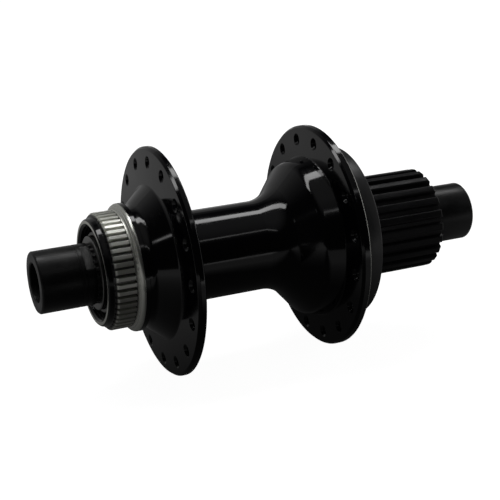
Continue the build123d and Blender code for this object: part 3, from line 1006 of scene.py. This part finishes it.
@dataclass
class FreehubBody:
    """The splined body that carries the cassette, with rounded spline tips."""

    node: str = "freehub_body"
    name: str = "freehub_splined_body"
    splines: int = 23
    tip_r: float = 16.4
    root_r: float = 15.0
    phase: float = 118.7
    tip_width: float = 2.24
    root_width: float = 3.0
    end_chamfer: float = 0.5
    tip_round: float = 0.32
    sunk: float = 0.5
    row_bore_r: float = 12.5
    cup_seat_r: float = 14.01
    flange_width: float = 2.4
    stop_gap: float = 0.4
    thread_r: float = 14.1
    thread_length: float = 6.0
    thread_pitch: float = 0.75
    thread_depth: float = 0.32
    run_in: float = 0.4
    run_out: float = 0.3
    mouth_chamfer: float = 0.45
    corner: float = 0.1

    def _tooth(self, bench: type[Bench], start: float, end: float) -> Object:
        """One spline, modelled at the top and turned to its place, then repeated round the body.

        Args:
            bench: the modelling tools.
            start: the station where the splines start.
            end: the station where they end.

        Returns:
            All the splines, as one mesh.
        """
        bench.clear()
        foot = self.root_r - self.sunk
        middle = ((start + end) / 2 * MM, 0, (foot + self.tip_r) / 2 * MM)
        scale = ((end - start) * MM, self.root_width * MM, (self.tip_r - foot) * MM)
        bpy.ops.mesh.primitive_cube_add(size=1.0, location=middle, scale=scale)
        tooth = bpy.context.object
        tooth.name = "spline"
        bpy.ops.object.transform_apply(location=True, rotation=True, scale=True)
        bpy.ops.object.mode_set(mode="EDIT")
        bench.pick("FACE", lambda face: face.normal.z > 0.9)
        bpy.ops.transform.resize(value=(1, self.tip_width / self.root_width, 1))
        top = self.tip_r * MM
        bench.pick(
            "EDGE",
            lambda edge: all(v.co.z > top - 1e-6 and v.co.x > (end - 0.01) * MM for v in edge.verts),
        )
        bpy.ops.mesh.bevel(offset=self.end_chamfer * MM, segments=1)
        bench.pick(
            "EDGE",
            lambda edge: abs(edge.verts[0].co.x - edge.verts[1].co.x) > MM
            and all(v.co.z > top - 1e-6 for v in edge.verts),
        )
        bpy.ops.mesh.bevel(offset=self.tip_round * MM, segments=4)
        bpy.ops.mesh.select_all(action="SELECT")
        turn = math.radians(self.phase - 90)
        around = 2 * math.pi * (self.splines - 1) / self.splines
        bpy.ops.mesh.spin(steps=1, dupli=True, angle=turn, center=(0, 0, 0), axis=(1, 0, 0))
        moved = {v.index for v in bmesh.from_edit_mesh(tooth.data).verts if v.select}
        bench.pick("VERT", lambda vertex: vertex.index not in moved)
        bpy.ops.mesh.delete(type="VERT")
        bpy.ops.mesh.select_all(action="SELECT")
        bpy.ops.mesh.spin(steps=self.splines - 1, dupli=True, angle=around, center=(0, 0, 0), axis=(1, 0, 0))
        bpy.ops.mesh.select_all(action="SELECT")
        bpy.ops.mesh.normals_make_consistent(inside=False)
        bpy.ops.object.mode_set(mode="OBJECT")
        bpy.ops.object.shade_smooth_by_angle(angle=math.radians(25))
        return tooth

    def build(self, bench: type[Bench], paint: Paint) -> Object:
        """Turns the core, sets the splines on it and dresses the whole.

        Args:
            bench: the modelling tools.
            paint: the materials.

        Returns:
            The body.
        """
        start, end, outer = stations(self.node)
        cup_x, thread_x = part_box("freehub_bearing_cup")[0].x / MM, end - self.thread_length
        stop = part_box("drive_side_cover")[1].x / MM + self.stop_gap
        flange = start + self.flange_width
        outline = [
            (start, self.row_bore_r),
            (cup_x, self.row_bore_r),
            (cup_x, self.cup_seat_r),
            (thread_x, self.cup_seat_r),
            *self._thread(thread_x, end),
            (end, self.thread_r + self.mouth_chamfer),
            (end, self.root_r - self.corner),
            (end - self.corner, self.root_r),
            (stop, self.root_r),
            (stop, self.tip_r),
            (flange, self.tip_r),
            (flange, outer),
            (start, outer),
        ]
        core = bench.turn(self.name, outline)
        bench.ease(core, 0.06, segments=2)
        body = bench.join([core, self._tooth(bench, stop, end)])
        paint.dress(body, paint.slot_of[self.node])
        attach(body, "driver")
        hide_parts(self.node)
        return body

    def _thread(self, start: float, end: float) -> list[tuple[float, float]]:
        """The lock-ring thread's crests and valleys along the bore.

        Args:
            start: the station where the thread starts.
            end: the mouth's station.

        Returns:
            (x, radius) corners in order.
        """
        crest, pitch = self.thread_r, self.thread_pitch
        valley = crest + self.thread_depth
        points = [(start, crest)]
        x = start + self.run_in
        while x + pitch < end - self.run_out:
            for share, radius in ((0.0, crest), (0.3, valley), (0.45, valley), (0.75, crest)):
                points.append((x + share * pitch, radius))
            x += pitch
        return points + [(end - self.mouth_chamfer, crest)]


@dataclass
class DustCover:
    """The drum beside the drive-side flange, with a rolled edge and a shallow ring on its end face."""

    node: str = "drive_side_cover"
    name: str = "drive_side_drum"
    wall: float = 1.2
    hole_r: float = 17.0
    hole_chamfer: float = 0.25
    ring_r: float = 20.6
    ring_end_r: float = 24.6
    ring_depth: float = 0.2
    rolled: float = 0.5
    rolled_middle: float = 0.15
    foot_chamfer: float = 0.12

    def build(self, bench: type[Bench], paint: Paint) -> Object:
        """Turns the drum and dresses it.

        Args:
            bench: the modelling tools.
            paint: the materials.

        Returns:
            The drum.
        """
        start, end, radius = stations(self.node)
        face = end - self.wall
        outline = [
            (start, radius - self.wall),
            (face, radius - self.wall),
            (face, self.hole_r),
            (end - self.hole_chamfer, self.hole_r),
            (end, self.hole_r + self.hole_chamfer),
            (end, self.ring_r),
            (end - self.ring_depth, self.ring_r + self.ring_depth),
            (end - self.ring_depth, self.ring_end_r - self.ring_depth),
            (end, self.ring_end_r),
            (end, radius - self.rolled),
            (end - self.rolled_middle, radius - self.rolled_middle),
            (end - self.rolled, radius),
            (start + self.foot_chamfer, radius),
            (start, radius - self.foot_chamfer),
        ]
        drum = bench.turn(self.name, outline, steps=192)
        bench.ease(drum, 0.1)
        paint.dress(drum, paint.slot_of[self.node])
        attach(drum, "shell")
        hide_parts(self.node)
        return drum


@dataclass
class CapRing:
    """A rubber ring in a cap's relief groove, where one shows."""

    name: str
    cap: str
    outward: int
    body: str = "axle"
    inset: float = 1.35
    depth: float = 0.16
    half_width: float = 0.24
    half_height: float = 0.192
    sides: int = 10
    slot: str = "seal_rubber"

    def build(self, bench: type[Bench], paint: Paint) -> Object:
        """Models the ring and dresses it.

        Args:
            bench: the modelling tools.
            paint: the materials.

        Returns:
            The ring.
        """
        start, end, radius = stations(self.cap)
        inner = end if self.outward < 0 else start
        middle = inner + self.inset * self.outward
        centre = radius - self.depth
        outline = []
        for index in range(self.sides):
            angle = 2 * math.pi * index / self.sides
            along, across = self.half_width * math.cos(angle), self.half_height * math.sin(angle)
            outline.append((middle + along, centre + across))
        ring = bench.turn(self.name, outline)
        bench.ease(ring, 0.01, segments=1, angle=80)
        paint.dress(ring, self.slot)
        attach(ring, self.body)
        return ring


# ---- Studio ----


def backwards(azimuth: float, elevation: float) -> Vector:
    """The way from the hub to what looks at it.

    Args:
        azimuth: degrees round from the front.
        elevation: degrees up from level.

    Returns:
        The unit vector.
    """
    a, e = math.radians(azimuth), math.radians(elevation)
    return Vector((math.sin(a) * math.cos(e), -math.cos(a) * math.cos(e), math.sin(e)))


@dataclass(frozen=True)
class Softbox:
    """A flat studio light that faces the hub."""

    name: str
    azimuth: float
    elevation: float
    away: float
    width: float
    height: float
    glow: float

    def hang(self) -> None:
        """Hangs the light; glow is how bright its face looks."""
        back = backwards(self.azimuth, self.elevation)
        data = bpy.data.lights.new(self.name, "AREA")
        data.shape = "RECTANGLE"
        data.size, data.size_y = self.width, self.height
        data.energy = self.glow * math.pi * self.width * self.height
        lamp = bpy.data.objects.new(self.name, data)
        bpy.context.scene.collection.objects.link(lamp)
        lamp.location = back * self.away
        lamp.rotation_euler = (-back).to_track_quat("-Z", "Y").to_euler()


@dataclass(frozen=True)
class Glow:
    """How the room or the floor brightens in one direction.

    It grows between the two values of turn, which lie along towards, from the first strength to the second.
    """

    towards: tuple[float, float, float]
    turn: tuple[float, float]
    strength: tuple[float, float]


@dataclass
class Studio:
    """A pale floor, soft light and the camera."""

    camera_place: tuple[float, float, float] = (-0.14802, -0.32615, 0.15115)
    camera_azimuth: float = -23.84
    camera_elevation: float = 23.16
    lens: float = 87.52
    room_glows: tuple[Glow, ...] = (
        Glow((-0.3, 0.75, -0.6), (0.12, 0.62), (0.012, 0.30)),
        Glow((0.0, 0.0, 1.0), (0.70, 0.95), (0.0, 0.16)),
        Glow((1.0, 0.0, 0.0), (0.60, 0.95), (0.0, 0.45)),
    )
    floor_glows: tuple[Glow, ...] = (
        Glow((-0.8, 0.6, 0.0), (0.02, 0.18), (0.02, 0.25)),
        Glow((0.8, -0.6, 0.0), (0.04, 0.10), (0.0, 0.14)),
        Glow((1.0, 0.0, 0.0), (0.15, 0.30), (0.0, 0.45)),
    )
    boxes: tuple[Softbox, ...] = field(
        default_factory=lambda: (
            Softbox("overhead_strip", 183.0, 66.0, 0.95, 1.70, 0.21, 4.6),
            Softbox("front_strip", 20.0, 54.0, 0.85, 0.60, 0.030, 1.2),
            Softbox("side_window", -84.0, 28.0, 0.90, 0.04, 0.025, 3.0),
            Softbox("drive_window", 92.0, 14.0, 0.90, 0.36, 0.18, 1.2),
        )
    )

    def camera(self) -> None:
        """Sets up the camera."""
        back = backwards(self.camera_azimuth, self.camera_elevation)
        data = bpy.data.cameras.new("camera")
        data.lens = self.lens
        data.clip_start, data.clip_end = 0.01, 50.0
        camera = bpy.data.objects.new("camera", data)
        bpy.context.scene.collection.objects.link(camera)
        camera.location = self.camera_place
        camera.rotation_euler = (-back).to_track_quat("-Z", "Y").to_euler()
        bpy.context.scene.camera = camera

    @staticmethod
    def _glow(
        tree: NodeTree, place: NodeSocket, glows: tuple[Glow, ...]
    ) -> NodeSocket:
        """How bright the room or the floor looks.

        Args:
            tree: the room's or the floor's nodes.
            place: the output with the direction or the place.
            glows: what adds up to its brightness.

        Returns:
            The brightness.
        """
        total = None
        for glow in glows:
            along = tree.nodes.new("ShaderNodeVectorMath")
            along.operation = "DOT_PRODUCT"
            along.inputs[1].default_value = glow.towards
            tree.links.new(place, along.inputs[0])
            ramp = tree.nodes.new("ShaderNodeMapRange")
            ramp.inputs["From Min"].default_value, ramp.inputs["From Max"].default_value = glow.turn
            ramp.inputs["To Min"].default_value, ramp.inputs["To Max"].default_value = glow.strength
            tree.links.new(along.outputs["Value"], ramp.inputs["Value"])
            total = ramp.outputs[0] if total is None else EFFECTS.maths(tree, "ADD", total, ramp.outputs[0])
        return total

    @staticmethod
    def _part(tree: NodeTree, unseen: Node, seen: Node, out: Node) -> None:
        """Shows the camera one shader, and lights the hub with another.

        Args:
            tree: the room's or the floor's nodes.
            unseen: the shader that lights the hub.
            seen: the shader that the camera sees.
            out: the output node.
        """
        path = tree.nodes.new("ShaderNodeLightPath")
        mix = tree.nodes.new("ShaderNodeMixShader")
        tree.links.new(path.outputs["Is Camera Ray"], mix.inputs[0])
        tree.links.new(unseen.outputs[0], mix.inputs[1])
        tree.links.new(seen.outputs[0], mix.inputs[2])
        tree.links.new(mix.outputs[0], out.inputs["Surface"])

    def room(self) -> None:
        """A white room whose reflections are dim in front, and grey behind, above and on the drive side."""
        world = bpy.data.worlds.new("room")
        bpy.context.scene.world = world
        world.use_nodes = True
        tree = world.node_tree
        tree.nodes.clear()
        out = tree.nodes.new("ShaderNodeOutputWorld")
        seen = tree.nodes.new("ShaderNodeBackground")
        seen.inputs["Color"].default_value = (1, 1, 1, 1)
        light = tree.nodes.new("ShaderNodeBackground")
        place = tree.nodes.new("ShaderNodeTexCoord")
        tree.links.new(self._glow(tree, place.outputs["Generated"], self.room_glows), light.inputs["Strength"])
        self._part(tree, light, seen, out)

    def floor(self, height: float) -> None:
        """Lays the floor.

        Args:
            height: where its top lies, in metres.
        """
        Bench.clear()
        bpy.ops.mesh.primitive_plane_add(size=6.0, location=(0, 0, height))
        floor = bpy.context.object
        floor.name = "studio_floor"
        material = bpy.data.materials.new("pale_floor")
        material.use_nodes = True
        tree = material.node_tree
        shader = tree.nodes["Principled BSDF"]
        shader.inputs["Base Color"].default_value = (0.25, 0.25, 0.25, 1)
        shader.inputs["Roughness"].default_value = 0.9
        shader.inputs["Emission Color"].default_value = (1, 1, 1, 1)
        shader.inputs["Emission Strength"].default_value = 0.97
        dim = tree.nodes.new("ShaderNodeEmission")
        place = tree.nodes.new("ShaderNodeTexCoord")
        tree.links.new(self._glow(tree, place.outputs["Object"], self.floor_glows), dim.inputs["Strength"])
        self._part(tree, dim, shader, tree.nodes["Material Output"])
        floor.data.materials.append(material)
        floor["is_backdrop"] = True

    def build(self, lowest: float) -> None:
        """Sets up the whole studio.

        Args:
            lowest: the height of the hub's lowest point, in metres.
        """
        self.camera()
        self.room()
        self.floor(lowest)
        for box in self.boxes:
            box.hang()
        bpy.context.scene.view_settings.view_transform = "Standard"


@dataclass
class Hub:
    """The whole hub: the frame's own nodes, and the pieces modelled over them."""

    frame: dict
    left_cap: EndCap = field(default_factory=lambda: EndCap("left_end_cap", "brake_side_cap", -1))
    right_cap: EndCap = field(default_factory=lambda: EndCap("right_end_cap", "drive_side_cap", 1))
    nut: LockNut = field(default_factory=LockNut)
    freehub: FreehubBody = field(default_factory=FreehubBody)
    cover: DustCover = field(default_factory=DustCover)
    cap_ring: CapRing = field(default_factory=lambda: CapRing("drive_side_cap_ring", "right_end_cap", 1))

    def build(self) -> None:
        """Dresses every node and models every new piece."""
        paint = Paint(self.frame["record"])
        for name, node in self.frame["nodes"].items():
            paint.dress(node, paint.slot_of[name])
        LOG.info("dressed %d nodes", len(self.frame["nodes"]))
        for part in (self.left_cap, self.right_cap, self.nut, self.freehub, self.cover, self.cap_ring):
            piece = part.build(Bench, paint)
            LOG.info("%s: %d faces", piece.name, len(piece.data.polygons))


def main() -> None:
    """Loads the frame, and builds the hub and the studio."""
    logging.basicConfig(level=logging.INFO, format="%(message)s")
    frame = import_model()
    cad_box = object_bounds()
    Hub(frame).build()
    Studio().build(cad_box[0].z)
    Bench.clear()


if __name__ == "__main__":
    main()
